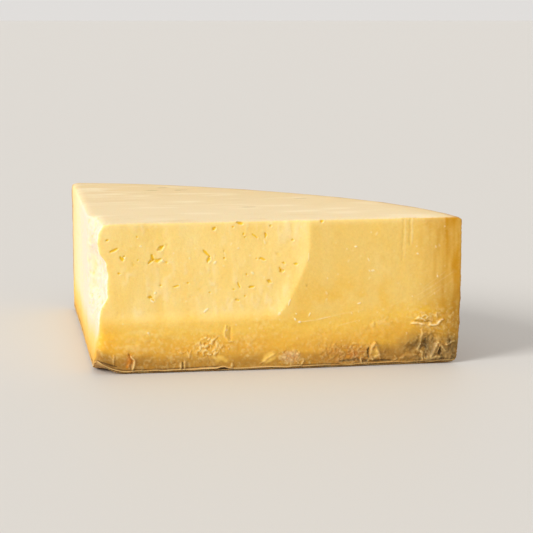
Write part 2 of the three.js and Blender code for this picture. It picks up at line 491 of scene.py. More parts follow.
def edge_pairs(triangles):
    pairs = np.concatenate([triangles[:, [0, 1]], triangles[:, [1, 2]], triangles[:, [2, 0]]])
    return np.unique(np.sort(pairs, axis=1), axis=0)


def relaxed(points, pairs, weight, rounds):
    """Moves each point towards the mean of its neighbours, by its own weight."""
    first, second = pairs[:, 0], pairs[:, 1]
    count = len(points)
    degree = np.bincount(pairs.ravel(), minlength=count)
    for _ in range(rounds):
        mean = np.empty_like(points)
        for axis in range(3):
            column = points[:, axis]
            there = np.bincount(first, column[second], count) + np.bincount(second, column[first], count)
            mean[:, axis] = there / degree
        points = points + weight[:, None] * (mean - points)
    return points


def normals_of(points, triangles):
    a, b, c = (points[triangles[:, corner]] for corner in range(3))
    facing = np.cross(b - a, c - a)
    total = np.zeros_like(points)
    for corner in range(3):
        for axis in range(3):
            total[:, axis] += np.bincount(triangles[:, corner], facing[:, axis], len(points))
    return total / np.linalg.norm(total, axis=1, keepdims=True)


def depths(points):
    """How deep each point lies below the front cut, the left cut and the rind wall."""
    x, y, z = points.T
    along = points[:, :2] @ LEFT_ALONG
    front = y + front_relief(x, z)
    left = left_relief(along, z) - points[:, :2] @ LEFT_OUT
    wheel = WHEEL_RADIUS - np.hypot(x - WHEEL_CENTRE[0], y - WHEEL_CENTRE[1])
    return front, left, wheel


def rounded_tip(points):
    """The skin with the corner between the two cuts rounded off towards its foot."""
    front, left, _ = depths(points)
    radius = TIP_ROUNDING * fade(points[:, 2], ROUND_BELOW, SHARP_ABOVE) + 0.01
    gap_front, gap_left = radius - front, radius - left
    corner = (gap_front > 0) & (gap_left > 0)
    share = np.where(corner, radius / np.maximum(np.hypot(gap_front, gap_left), 0.001), 1)
    share = np.minimum(share, 1)
    rounded = points.copy()
    rounded[:, 1] += gap_front * (1 - share)
    rounded[:, :2] -= (gap_left * (1 - share))[:, None] * LEFT_OUT
    return rounded


def softened(points, triangles):
    """The same skin with its sharp edges worn round, some more than others."""
    front, left, wheel = depths(points)
    from_top = HEIGHT - points[:, 2]
    from_base = points[:, 2]
    # Distances from the two faces of each edge, its width, and how strongly it is worn
    worn = (
        (front, from_top, 1.6, 0.30),
        (left, from_top, 4, 0.90),
        (front, left, 2.4, 0.40),
        (front, wheel, 2.4, 0.30),
        (left, wheel, 2.4, 0.30),
        (front, from_base, 1.2, 0.15),
        (left, from_base, 1.8, 0.30),
    )
    weight = np.zeros(len(points))
    for depth_a, depth_b, width, strength in worn:
        near = fade(np.hypot(depth_a, depth_b), 0.3 * width, width)
        weight = np.maximum(weight, strength * near)
    return relaxed(rounded_tip(points), edge_pairs(triangles), weight, 6)


# ---------------------------------------------------------------- marks drawn on a face

def warped(points, amount, size, seed):
    """The points pushed about by smooth noise, so that whatever is drawn on them wanders."""
    push = np.stack([noise(points, size, seed + axis) for axis in range(3)], axis=1)
    return points + amount * push


def rubble(points, size, seed):
    """Fine broken texture: how far each point is on a crest, and how far in a hollow."""
    level = layered(warped(points, 0.6 * size, 1.3 * size, seed), size, 2, seed + 5)
    return smooth(level, -0.05, 0.55), smooth(-level, 0.05, 0.60)


def oval(x, z, spot, half_length, half_width, slant):
    """Distance from an oval's middle, as a share of its size: 1 on its outline."""
    turn = math.radians(slant)
    dx, dz = x - spot[0], z - spot[1]
    along = dx * math.cos(turn) + dz * math.sin(turn)
    across = dz * math.cos(turn) - dx * math.sin(turn)
    return np.hypot(along / half_length, across / half_width)


def segment_distance(x, z, start, end):
    """Distance from a straight line between two points, and the share of the way along it."""
    sx, sz = end[0] - start[0], end[1] - start[1]
    share = np.clip(((x - start[0]) * sx + (z - start[1]) * sz) / (sx * sx + sz * sz), 0, 1)
    return np.hypot(x - start[0] - share * sx, z - start[1] - share * sz), share


def stroke(x, z, path, width):
    """1 along a path of points, thinning towards both ends, and 0 away from it."""
    steps = [math.dist(start, end) for start, end in zip(path, path[1:])]
    done = 0
    drawn = np.zeros_like(x)
    for start, end, step in zip(path, path[1:], steps):
        distance, share = segment_distance(x, z, start, end)
        reach = (done + share * step) / sum(steps)
        taper = 0.4 + 0.6 * np.sin(np.pi * np.clip(reach, 0.02, 0.98)) ** 0.6
        drawn = np.maximum(drawn, np.exp(-((distance / (width * taper)) ** 2)))
        done += step
    return drawn


# ---------------------------------------------------------------- fine shape of the front cut

# Everything drawn on the front cut is placed by its distance from the tip and its height, in
# millimetres. The places were picked by eye in the photo, turned into millimetres by a helper
# script with a fitted camera, and many were then moved a little. Eyes and cracks in the paste:
# half width, then the points.
FRONT_EYES = (
    (0.6, (0.3, 71.2), (1.4, 71.3)),
    (0.6, (2.3, 65.3), (4, 65.9), (6, 67)),
    (0.65, (7.4, 62.4), (8.5, 60.9), (9.5, 62.8)),
    (0.45, (15.7, 72.6), (16.3, 72.5)),
    (1.05, (27.3, 65.6), (29.8, 67.4)),
    (0.8, (23.6, 62.9), (24.3, 60.6), (22.2, 59)),
    (0.85, (24.3, 60.4), (26.7, 59.6), (28.3, 60.4)),
    (0.5, (31.2, 58.9), (31.8, 58.9)),
    (0.55, (5.9, 53.7), (6.9, 53.8)),
    (0.4, (16.2, 60.7), (16.8, 60.6)),
    (0.65, (51.1, 64.9), (53, 62.5), (54.6, 61.5)),
    (0.7, (54.5, 61.5), (53.4, 58.8)),
    (0.8, (56.1, 75.7), (57.2, 77)),
    (0.5, (27.9, 46.9), (28.6, 46.9)),
    (0.45, (34.9, 45.7), (37.7, 45.9)),
    (0.45, (42.3, 47.6), (43, 47.6)),
    (0.9, (21.9, 40.7), (23.5, 40.4)),
    (0.55, (23.6, 40.2), (24.6, 38.6)),
    (0.45, (53.9, 42.2), (54.5, 42.1)),
    (0.55, (66.4, 76.7), (67, 76.7)),
    (0.85, (69, 79.1), (70.6, 78.8), (71.6, 78.3)),
    (0.65, (86.4, 77), (87.2, 77)),
    (0.5, (72, 73.5), (72.4, 73.1)),
    (0.5, (72.9, 71.5), (73.2, 71)),
    (0.45, (77.2, 73.1), (79.5, 70.6)),
    (0.6, (83.6, 73.1), (84.2, 72), (84, 71.2)),
    (0.7, (98.2, 69), (99, 69)),
    (0.65, (81.1, 59.5), (83.4, 59.4)),
    (0.4, (79, 59.8), (79.5, 59.8)),
    (0.55, (61.8, 60.4), (62.3, 60.2)),
    (0.6, (93.3, 57), (94.3, 57)),
    (0.6, (99.3, 56.1), (101, 56.4)),
    (0.5, (91.2, 54.6), (92.2, 52.8)),
    (1.05, (91.8, 52.7), (93.2, 53)),
    (0.5, (73.5, 51.7), (74, 51.7)),
    (0.8, (85.2, 47.6), (86.9, 46.8)),
    (0.5, (69, 47.2), (70.3, 44.5)),
    (0.65, (75.5, 44.6), (77.6, 44.7)),
    (0.7, (68, 37.8), (69.5, 37.6)),
    (0.5, (72.8, 39.8), (73.3, 39.7)),
    (0.45, (66.6, 43.6), (67.1, 43.5)),
    (0.8, (113.8, 80.5), (113.8, 78.4)),
)

# Pale crystals and crumbs, and painted highlights: the first nine are glints on the rims of eyes, the last
# three glints along the ridge. Half width, paleness, then the points
FRONT_FLECKS_AND_GLINTS = (
    (0.6, 0.9, (9.3, 62), (9.7, 61.5)),
    (0.6, 0.7, (17.4, 67.9), (18.6, 67.4)),
    (0.7, 0.8, (29, 59.8), (29.8, 59.2)),
    (0.7, 0.8, (56.6, 58), (57.6, 58.8)),
    (0.7, 0.9, (25, 42.4), (25.8, 43.2)),
    (0.6, 0.9, (23.2, 38.8), (24.4, 37.5)),
    (0.7, 0.7, (76.6, 52.7), (77.5, 51.4)),
    (0.6, 0.6, (69.2, 65.8), (69.9, 65.4)),
    (0.5, 0.5, (83.2, 69.8), (83.7, 67.6)),
    (0.4, 0.35, (56.9, 62.6), (56.6, 60)),
    (0.5, 0.35, (62.2, 63.5), (62.6, 61.2)),
    (0.6, 0.45, (43.8, 61), (44.2, 60.4)),
    (0.6, 0.95, (51, 31.8), (53.5, 33.5)),
    (0.5, 0.7, (100.2, 29.8), (100.5, 29.2)),
    (0.75, 1, (99.2, 26.7), (100.2, 26.3)),
    (0.65, 1, (102, 25.3), (103.1, 25.2)),
    (0.5, 0.7, (107.5, 27.9), (108, 29.6)),
    (0.6, 0.9, (131.7, 64.8), (132.8, 64.8)),
    (0.45, 0.5, (127.5, 64), (128.1, 64.1)),
    (0.6, 0.6, (139.8, 52.4), (140.4, 51.8)),
    (0.6, 0.7, (141.2, 52.2), (142.4, 52)),
    (0.7, 0.6, (166, 60.5), (166.7, 60.1)),
    (0.6, 0.4, (175.8, 64.8), (176.4, 63.9)),
    (0.55, 0.8, (177.6, 48), (178, 47.4)),
    (0.4, 0.5, (139.2, 58.6), (139.5, 57.2)),
    (0.5, 0.7, (133.8, 34), (135.3, 34.4)),
    (0.7, 0.3, (143.4, 70.8), (144.3, 72.4)),
    (0.5, 0.4, (117.2, 48.9), (117.6, 48)),
    (0.6, 0.8, (20.9, 22), (21.5, 21.2)),
    (0.45, 0.5, (107.1, 62.5), (106.7, 58)),
    (0.5, 0.7, (96.9, 37.8), (95.9, 34.2)),
    (0.7, 0.6, (92, 30.6), (90.9, 29.4)),
)

# Straight knife scores: half width, paleness, then the points
FRONT_SCORES = (
    (0.32, 0.6, (103.2, 25.2), (110.5, 25.9), (118.7, 27.5)),
    (0.3, 0.26, (118, 27.3), (126, 29), (136.9, 30.8)),
    (0.32, 0.28, (122.8, 22.4), (134.7, 25.2)),
    (0.34, 0.3, (140.6, 22.2), (148.4, 25.2)),
    (0.3, 0.14, (150, 31.5), (160.5, 36)),
    (0.4, 0.18, (164.2, 36.3), (174, 42), (186.1, 50)),
    (0.34, 0.16, (166.5, 34.6), (180, 43.2)),
    (0.34, 0.14, (170, 41.6), (182, 50.4)),
    (0.34, 0.14, (172, 36), (186, 45.4)),
    (0.5, 0.3, (159.5, 79.4), (159.4, 58)),
    (0.55, 0.55, (163.1, 79.4), (163.1, 66)),
)

# Raised curls, flakes and filaments low on the face: half width, height, paleness, then the points
FRONT_RIDGES = (
    (0.55, 0.8, 0.85, (165.9, 24.6), (168.2, 25.5), (170.2, 24.8), (171.8, 23.6)),
    (0.55, 0.8, 0.9, (163.5, 22.7), (165.1, 22.1), (167.1, 22.8), (169.1, 21.7), (170.9, 21.5)),
    (0.65, 0.9, 1, (173.9, 21), (176.3, 21.5), (178.3, 21.8), (179.4, 23.4), (181, 24)),
    (0.45, 0.5, 0.6, (169.8, 26.1), (171.4, 27.2), (172.6, 26), (171.8, 24.8)),
    (0.6, 0.4, 0.4, (177.3, 28.2), (177.6, 25.8)),
    (0.75, 0.7, 0.4, (169.5, 19), (170, 16.2), (168.4, 14.2), (168.9, 11.1)),
    (0.7, 0.9, 0.6, (168.9, 11.1), (167.4, 8), (169.7, 6.3), (169.4, 2.3)),
    (0.85, 1.3, 0.5, (178.8, 11.8), (176.3, 7.8), (174.2, 3.6)),
    (0.45, 0.9, 0.5, (179.4, 9.9), (177.7, 5.8)),
    (0.65, 1.1, 0.5, (178.8, 11.8), (181.3, 8.3), (182.3, 7)),
    (0.5, 0.7, 0.55, (182.8, 10.2), (186, 11.3), (188, 12)),
    (0.5, 0.7, 0.55, (174.2, 3), (177, 3.7), (180.4, 3.4)),
    (1, 1, 0.22, (157.8, 4), (162.2, 5), (166.2, 5.2)),
    (0.45, 0.6, 0.6, (154.3, 5.2), (155.8, 3.6), (153.5, 2.5)),
    (0.5, 0.6, 0.7, (135.3, 4.3), (136.7, 1.3)),
    (0.9, 1.2, 0.42, (143.1, 12.7), (141.2, 8.5), (140.8, 6.2), (141.8, 3.2)),
    (0.85, 1.1, 0.36, (143.1, 12.7), (144.7, 8.4), (146.4, 3.5)),
    (0.45, 0.6, 0.75, (104.3, 4.4), (102.5, 1.5)),
    (0.38, 0.4, 0.5, (101, 3.9), (102.4, 1.9)),
    (0.6, 0.8, 0.9, (12.2, 9.5), (13.8, 7.4), (13.2, 2.3)),
    (0.42, 0.5, 0.4, (2.9, 9.8), (3.2, 7), (2.8, 4)),
    (0.85, 0.8, 0.38, (40.6, 5.8), (40.7, 2.4)),
    (0.45, 0.6, 0.55, (38.6, 5.4), (37.9, 1.5)),
    (0.36, 0.4, 0.6, (41.4, 11.9), (42.9, 8), (44, 11.2)),
    (0.36, 0.3, 0.45, (36.5, 11.5), (39, 10.2), (41, 10.8)),
    (0.5, 0.5, 0.42, (62.5, 24.5), (61.9, 21), (62.3, 18.2), (64.3, 16), (66, 15.5)),
    (0.55, 0.6, 0.75, (65.7, 4.2), (65.1, 1.4)),
    (0.5, 0.4, 0.3, (80.5, 3.4), (84.5, 6), (88.9, 8.5)),
)

# Grooves, pits and slits low on the face: half width, depth, darkness (painted shade inside the groove),
# then the points
FRONT_GROOVES = (
    (0.95, 0.55, 0, (64.7, 23.2), (65, 16.9)),
    (0.55, 0.4, 0.8, (-5.8, 1.7), (-1, 2.9), (4.5, 3.7)),
    (0.7, 0.8, 0.2, (11, 10), (12.6, 7), (12, 2.8)),
    (0.75, 0.6, 0.12, (49.4, 14.7), (49.8, 13.9)),
    (0.5, 0.7, 0.5, (39.5, 5.2), (39.3, 1.8)),
    (0.5, 1, 0.85, (139.8, 10), (139.4, 7.4), (139.9, 4.8)),
    (1.3, 0.9, 0.55, (171.4, 13.5), (172.2, 9.4), (171.8, 3.6)),
    (0.85, 1.5, 0.85, (179.4, 8.2), (179, 4.8)),
    (0.6, 0.7, 0.25, (166, 23.6), (170, 23.1), (175, 22.9)),
    (0.9, 0.7, 0.75, (124, 3.2), (132, 3.6), (139, 3)),
    (0.6, 0.6, 0.7, (140.5, 2.6), (147, 2.8), (152, 2.3)),
    (0.6, 0.12, 0.04, (158.3, 79.4), (158.2, 57)),
    (0.65, 0.16, 0.08, (162, 79.4), (162, 65)),
)

# Crumbly places: middle, half length, half height, roughness, paleness
FRONT_CRUMBS = (
    ((53, 12.8), 11, 7.2, 1.2, 0.85),
    ((96.8, 6.6), 6, 4.6, 1, 0.55),
    ((131, 7.2), 20, 5.4, 0.9, 0.28),
    ((176, 9), 15, 9, 0.8, 0.20),
    ((76, 13), 9.5, 6, 0.5, 0.25),
    ((112, 14), 12, 6, 0.5, 0.18),
    ((30, 9), 12, 5, 0.5, 0.12),
)

# Golden flakes low on the front cut: middle, half length, half height, slant in degrees
GOLD_FLAKES = (
    ((59.4, 6.9), 4.6, 2.6, -15),
    ((85.5, 6.6), 5, 2.6, 28),
    ((143.6, 7.2), 2.6, 3.8, 0),
)

DARK_SPECK = ((105.3, 45), (105.8, 45))
ORANGE_CRACK = ((11, 9.6), (11.9, 6.5), (10, 3.6))


def under_rind_height(x):
    """How high the darker zone above the lower rind reaches on the front cut."""
    return 27 + 9 * smooth(x, 100, 191)


def wants_fine_front(points):
    """True where the front cut has detail that needs a fine mesh."""
    x, z = points[:, 0], points[:, 1]
    fine = (z < 6) | ((x > 160) & (z < 29)) | ((x > 112) & (x < 160) & (z < 13))
    fine |= oval(x, z, (53.5, 13), 12, 8, 0) < 1
    fine |= oval(x, z, (97, 7), 8, 6.5, 0) < 1
    marks = [(width, path) for width, *path in FRONT_EYES]
    marks += [(width, path) for width, _, *path in FRONT_FLECKS_AND_GLINTS + FRONT_SCORES]
    marks += [(width, path) for width, _, _, *path in FRONT_RIDGES + FRONT_GROOVES]
    for width, path in marks:
        for start, end in zip(path, path[1:]):
            fine |= segment_distance(x, z, start, end)[0] < width + 0.9
    return fine


class Relief:
    """The fine shape of a face: its height, and how hollow, pale or dark each point is. The hollow share
    and most of the dark share are painted shade, in pits, grooves and dips; the pale share holds pale
    crumbs and crystals and also painted highlights on eye rims and glints.
    """

    def __init__(self, count):
        self.height, self.pit, self.pale, self.dark = (np.zeros(count) for _ in range(4))

    def add(self, height=0, pit=0, pale=0, dark=0):
        self.height += height
        self.pit = np.maximum(self.pit, pit)
        self.pale = np.maximum(self.pale, pale)
        self.dark = np.maximum(self.dark, dark)


def add_eyes(relief, x, z, eyes):
    """Sinks eyes into a face, their floors painted deeper as shade, each with a pale lip on its lower
    right: a painted highlight on the rim that faces the light.
    """
    for width, *path in eyes:
        floor = smooth(stroke(x, z, path, width), 0.08, 0.60)
        lip = stroke(x - 0.75, z + 0.70, path, width) * (1 - floor)
        depth = min(0.6, 0.65 * width)
        relief.add(height=0.12 * lip - depth * floor, pit=floor, pale=0.32 * lip)


def short_path(picks, x, z, longest, slants):
    """A short straight path from a point, of random length and slant."""
    length, slant = picks.uniform(*longest), picks.uniform(*slants)
    return (x, z), (x + length * math.cos(slant), z + length * math.sin(slant))


def scattered_flecks(count, seed):
    """Tiny pale crystals at random places of the front cut."""
    picks = np.random.default_rng(seed)
    flecks = []
    for _ in range(count):
        x, z = picks.uniform(8, 188), 10 + 68 * picks.uniform() ** 1.3
        path = short_path(picks, x, z, (0.1, 1.1), (0.6, 2.4))
        flecks.append((picks.uniform(0.28, 0.55), picks.uniform(0.15, 0.55), *path))
    return flecks


def add_grain(relief, points, scoop, low):
    """Broad unevenness, upright tears in the scoop, level fibres at the foot, and a fine grain."""
    relief.add(height=0.30 * layered(points, 36, 2, 21))
    relief.add(height=(0.07 + 0.15 * scoop) * layered(drawn_out(points, z=0.4), 7, 3, 31))
    relief.add(height=0.06 * layered(points, 1.8, 2, 41))
    relief.add(height=0.26 * low * layered(drawn_out(points, x=0.35), 4.5, 3, 71))
    relief.add(height=0.10 * low * layered(points, 1.5, 2, 81))
    pitted = smooth(layered(points, 2, 2, 51), 0.42, 0.75) * smooth(noise(points, 11, 61), -0.3, 0.4)
    relief.add(height=-0.35 * scoop * pitted, pit=0.35 * scoop * pitted)
    torn, _ = rubble(drawn_out(points, z=0.45), 2.4, 115)
    torn *= scoop * smooth(noise(points, 13, 117), -0.5, 0.5)
    relief.add(height=0.14 * torn, pale=0.30 * torn)


def corner_lumps(points):
    """The lumps and dips of the folded corner near the rind."""
    return rubble(drawn_out(points, z=0.6), 3.2, 141)


def add_rough_foot(relief, points, x, z, low):
    """Rough places above the lower rind, the crumbly patches, and the folds near the rind, with painted
    shade in their hollows and dips.
    """
    crest, hollow = rubble(points, 1.5, 121)
    rough = 0.34 * low * smooth(noise(points, 9, 131), -0.1, 0.7)
    relief.add(height=0.5 * rough * (crest - hollow), pit=0.80 * rough * hollow, pale=0.55 * rough * crest)

    crest, hollow = rubble(points, 1.15, 123)
    for spot, half_length, half_height, rough, paleness in FRONT_CRUMBS:
        reach = oval(x, z, spot, half_length, half_height, 0) + 0.3 * noise(points, 4, 101)
        share = fade(reach, 0.60, 1.20)
        relief.add(height=0.34 * share * rough * (crest - hollow))
        relief.add(pit=0.55 * share * rough * hollow, pale=share * paleness * crest)

    corner = smooth(x, 144, 176) * fade(z, 9, 19)
    lump, dip = corner_lumps(points)
    relief.add(height=0.75 * corner * (lump - dip))
    # Painted shade: the dips between the lumps are darkened
    relief.add(pale=0.10 * corner * lump * crest, dark=0.45 * corner * dip)


def add_marks(relief, points, x, z):
    """Crystals and painted glints, knife scores, grooves with painted shade in them, and curls, each at
    its own place.
    """
    # Pale crystals, and the glints among them as painted highlights
    for width, paleness, *path in (*FRONT_FLECKS_AND_GLINTS, *scattered_flecks(150, 3)):
        fleck = smooth(stroke(x, z, path, width), 0.15, 0.85)
        relief.add(height=0.25 * paleness * fleck, pale=paleness * fleck)
    unbroken = 0.6 + 0.4 * noise(points, 3, 161)
    for width, paleness, *path in FRONT_SCORES:
        score = paleness * unbroken * stroke(points[:, 0], points[:, 2], path, width)
        relief.add(height=0.2 * score, pale=score)
    for width, depth, darkness, *path in FRONT_GROOVES:
        groove = stroke(x, z, path, width)
        # The groove is sunk and painted dark as shade inside it
        relief.add(height=-depth * groove, dark=darkness * groove)
    patchy = 0.30 + 0.70 * smooth(noise(points, 1, 151), -0.6, 0.4)
    for width, tall, paleness, *path in FRONT_RIDGES:
        ridge = stroke(x, z, path, 1.15 * width)
        relief.dark *= fade(ridge, 0.3, 0.8)
        relief.add(height=tall * ridge, pale=0.85 * paleness * patchy * smooth(ridge, 0.15, 0.95))
    relief.add(dark=0.7 * stroke(x, z, DARK_SPECK, 0.55))


def front_detail(points):
    """The fine shape of the front cut, and the share of the scoop at each point."""
    drawn = warped(points, 0.45, 2.2, 11)
    x, z = drawn[:, 0], drawn[:, 2]
    scoop = scoop_share(x, z)
    low = smooth(under_rind_height(x) - z, -4, 10)
    relief = Relief(len(points))
    add_grain(relief, points, scoop, low)
    add_rough_foot(relief, points, x, z, low)
    add_eyes(relief, x, z, FRONT_EYES)
    add_marks(relief, points, x, z)
    return relief, scoop


def rind_lip(points):
    """The thin cut edge of the lower rind along the foot of a cut face, with the gap below it, painted
    dark as shade.
    """
    plan = drawn_out(points, z=0)
    gap = 0.9 * bump(points[:, 0], 61, 2.6) * bump(points[:, 1], 0, 8)
    z = points[:, 2] + 0.20 * noise(plan, 5, 131) - gap
    top = 1.75 + 0.30 * noise(plan, 17, 141)
    lip = smooth(z, 0.95, 1.20) * fade(z, top - 0.10, top + 0.25)
    seam = bump(z, top + 0.45, 0.30) * smooth(noise(plan, 8, 145), -0.6, 0.3)
    # The band below the lip is drawn in, and also painted dark as shade below the lip.
    undercut_and_shade = fade(z, 0.70, 1.05)
    return 0.25 * lip - 0.25 * seam - 2.2 * undercut_and_shade, lip, seam, undercut_and_shade


# ---------------------------------------------------------------- fine shape of the other faces

def scattered_eyes(count, low, high, seed):
    """Eyes of mixed sizes at random places of a flat area."""
    picks = np.random.default_rng(seed)
    eyes = []
    for x, z in picks.uniform(low, high, (count, 2)):
        path = short_path(picks, x, z, (0.3, 2.4), (-1.4, 1.4))
        eyes.append((picks.uniform(0.45, 0.95), *path))
    return eyes


def left_detail(points):
    """The fine shape of the left cut, and the share of its broken part at each point."""
    drawn = warped(points, 0.7, 3, 11)
    along, z = drawn[:, :2] @ LEFT_ALONG, drawn[:, 2]
    broken = fade(along, 26, 60) * smooth(z, 18, 30)
    crest, hollow = rubble(points, 2.2, 158)
    relief = Relief(len(points))
    relief.add(height=0.35 * broken * (crest - hollow), pit=0.9 * broken * hollow)
    relief.add(height=(0.35 + 0.5 * broken) * layered(points, 15, 3, 151))
    relief.add(height=(0.18 + 0.62 * broken) * layered(points, 5.5, 3, 155))
    relief.add(height=0.12 * layered(drawn_out(points, z=0.6), 2.4, 2, 161))
    relief.add(height=0.3 * fade(z, 8, 24) * layered(drawn_out(points, y=0.5), 5, 3, 171))
    add_eyes(relief, along, z, scattered_eyes(22, (2, 24), (44, 76), 7))
    add_eyes(relief, along, z, scattered_eyes(26, (44, 30), (182, 76), 9))
    return relief, broken


def top_detail(points):
    """Height of the dry upper skin, gently uneven with faint marks along it, and its sunk spots."""
    x, y = points[:, 0], points[:, 1]
    flow = drawn_out(points, x=0.22)
    height = 0.20 * layered(points, 45, 3, 201) + 0.10 * layered(flow, 7, 3, 211)
    spot = np.zeros(len(points))
    for place in ((43, 158), (35, 144), (53, 145), (120, 96), (84, 60)):
        reach = oval(x, y, place, 4.5, 1.6, 8) * (1 + 0.3 * noise(points, 3, 221))
        spot = np.maximum(spot, fade(reach, 0.5, 1.1))
    return height - 0.35 * spot, spot


def rind_detail(points):
    """Height of the dry, wrinkled rind of the wheel's side, and its hairline cracks."""
    angle = np.arctan2(points[:, 1] - WHEEL_CENTRE[1], points[:, 0] - WHEEL_CENTRE[0])
    wall = np.stack([angle * WHEEL_RADIUS * 0.35, points[:, 2], np.zeros(len(points))], axis=1)
    height = 0.45 * layered(wall, 9, 4, 231)
    height += 0.22 * layered(points, 2.8, 3, 241)
    near, second = crumbs(wall, 7, 251)
    crack = fade(second - near, 0, 0.09) * smooth(noise(points, 20, 261), 0, 0.5)
    return height - 0.25 * crack, crack


# ---------------------------------------------------------------- colours

def srgb(red, green, blue):
    """A display colour from 0 to 255 as linear light."""
    value = np.array([red, green, blue]) / 255
    return np.where(value <= 0.04045, value / 12.92, ((value + 0.055) / 1.055) ** 2.4)


PASTE = srgb(251, 214, 122)
PASTE_SCOOP = srgb(252, 217, 130)
PASTE_PALE = srgb(252, 226, 154)
PASTE_GOLD = srgb(247, 203, 96)
PASTE_RIGHT = srgb(239, 202, 110)
PASTE_RIND_SIDE = srgb(202, 143, 10)
OCHRE = srgb(240, 194, 78)
UNDER_RIND = srgb(224, 166, 52)
TIP_ORANGE = srgb(250, 188, 52)
GOLD_HOLLOW = srgb(224, 156, 44)
BROWN = srgb(156, 110, 40)
OLIVE = srgb(100, 76, 34)
RUST = srgb(182, 112, 46)
ORANGE = srgb(218, 132, 14)
ROSE_GREY = srgb(206, 164, 116)
TAN = srgb(190, 148, 82)
CRUMB = srgb(246, 216, 148)
GOLD_BLOTCH = srgb(238, 186, 58)
# DARK is painted shade below the rind lip and in grooves and dips, and also a real dark speck and the
# darkest paste at the rind's foot.
DARK = srgb(64, 44, 18)
EYE_FLOOR = srgb(250, 200, 4)
PALE = srgb(255, 238, 196)
# The broken left cut's pale, greyish cream: partly the crumbly break's own paleness, partly painted light,
# the washed-out look of the brightly lit side
BROKEN_AND_LIT_PASTE = srgb(229, 213, 189)
# Painted highlight along the tip edge of the left cut
EDGE_HIGHLIGHT = srgb(238, 226, 206)
# The top is painted a paler, greyer cream than the cut faces; this paleness is painted light and painted
# reflection of the pale surroundings at the grazing angle
SKIN = srgb(232, 209, 163)
SKIN_FAR = srgb(224, 196, 144)
SKIN_PALE = srgb(240, 221, 182)
SKIN_RIM = srgb(184, 136, 78)
RIND = srgb(172, 128, 72)
RIND_DARK = srgb(106, 74, 40)
RIND_LIGHT = srgb(206, 170, 112)
LIP = srgb(236, 192, 124)
SEAM = srgb(84, 56, 24)


def paint(colour, other, share):
    """Mixes another colour into each point's colour."""
    return colour + (other - colour) * np.clip(share, 0, 1)[:, None]


def coated(base, coats):
    """A base colour with other colours mixed over it, each by its share at every point."""
    colour = base
    for other, share in coats:
        colour = paint(colour, other, share)
    return colour


def paste_coats(x, z, scoop, cloud):
    """The cut paste: paler in the scoop, with painted highlights up the ridge and along the top edge,
    deeper past the ridge, clouded all over.
    """
    past_ridge = x - ridge_at(z)
    return [
        (PASTE_SCOOP, scoop),
        (PASTE_RIGHT, smooth(past_ridge, -1.5, 2.5) * smooth(z, 12, 26)),
        (PASTE_PALE, 0.55 * smooth(cloud, 0, 0.75) * mix(0.4, 1, scoop)),
        # Painted highlight on the ridge's slope, which faces the light
        (PASTE_PALE, 0.5 * smooth(past_ridge, -9, -1) * scoop ** 0.3),
        (PASTE_GOLD, 0.45 * smooth(-cloud, 0.05, 0.8)),
        # Painted highlight along the top edge
        (PASTE_PALE, 0.35 * smooth(z, HEIGHT - 4, HEIGHT - 1.5)),
    ]


def foot_coats(points, x, z, depth):
    """The zone above the lower rind: ochre, then brown, in level streaks and golden blotches."""
    fibre = layered(drawn_out(points, x=0.25), 3.2, 3, 321)
    blotch = smooth(layered(points, 13, 3, 349), 0, 0.6) * smooth(x, 60, 120) * fade(z, 34, 58)
    return [
        (OCHRE, 0.85 * smooth(depth, -6, 5)),
        (UNDER_RIND, 0.80 * smooth(depth, 4, 15)),
        (PASTE_PALE, 0.30 * smooth(fibre, 0.15, 0.7) * smooth(depth, -2, 6) * fade(x, 30, 70)),
        (BROWN, smooth(depth + 3 * fibre, 13, 26) * mix(0.55, 0.85, smooth(x, 95, 150))),
        (GOLD_BLOTCH, 0.55 * blotch * smooth(z, 6, 14)),
    ]


def end_coats(points, x, z, cloud):
    """Yellow-brown streaks towards the rind wall, and orange low at the tip."""
    side = smooth(x + 2.5 * cloud - 0.14 * (HEIGHT - z), 146, 188) ** 1.7
    streak = layered(drawn_out(points, z=0.12), 1.6, 2, 317)
    return [
        (PASTE_RIND_SIDE, 0.85 * side * (1 + 0.55 * streak)),
        (BROWN, 0.45 * side * fade(z, 20, 60)),
        (DARK, 0.26 * smooth(x, 177, 190) * fade(z, 22, 48)),
        (TIP_ORANGE, 0.8 * bump(x, -2, 9) * bump(z, 18, 9)),
    ]


def corner_coats(points, x, z, olive):
    """The brown band along the foot, and the olive folds near the rind."""
    uneven = 2.6 * layered(drawn_out(points, x=0.5), 7, 3, 325)
    band = fade(z - 3 * fade(x, 25, 50) + uneven, 3.5, 10.5)
    mottle = smooth(layered(points, 6, 3, 331), -0.6, 0.3)
    lump, _ = corner_lumps(points)
    return [
        (BROWN, mix(0.85, 0.5, smooth(x, 0, 60)) * band),
        (OLIVE, 0.90 * olive * mottle),
        (TAN, 0.55 * olive * lump),
    ]


def stain_coats(points, x, z, fine):
    """Rusty places, an orange crack, golden flakes and a rose-grey crumbly spot."""
    rust = np.maximum(bump(x, 128, 13) * bump(z, 7, 4.5), 0.8 * bump(x, 11, 3) * bump(z, 7, 3.5))
    ragged = 0.9 * layered(points, 2.6, 2, 355)
    flakes = [fade(oval(x, z, *flake) + ragged, 0.3, 1) for flake in GOLD_FLAKES]
    rose = fade(oval(x, z, (96.8, 6.6), 6.5, 4.6, 0) + 0.3 * fine, 0.5, 1.1)
    return [
        (RUST, 0.75 * rust * smooth(layered(points, 3, 2, 341), -0.5, 0.3)),
        (ORANGE, 0.85 * stroke(x, z, ORANGE_CRACK, 1.1)),
        (PASTE_GOLD, 0.65 * np.max(flakes, axis=0)),
        (ROSE_GREY, 0.7 * rose),
    ]


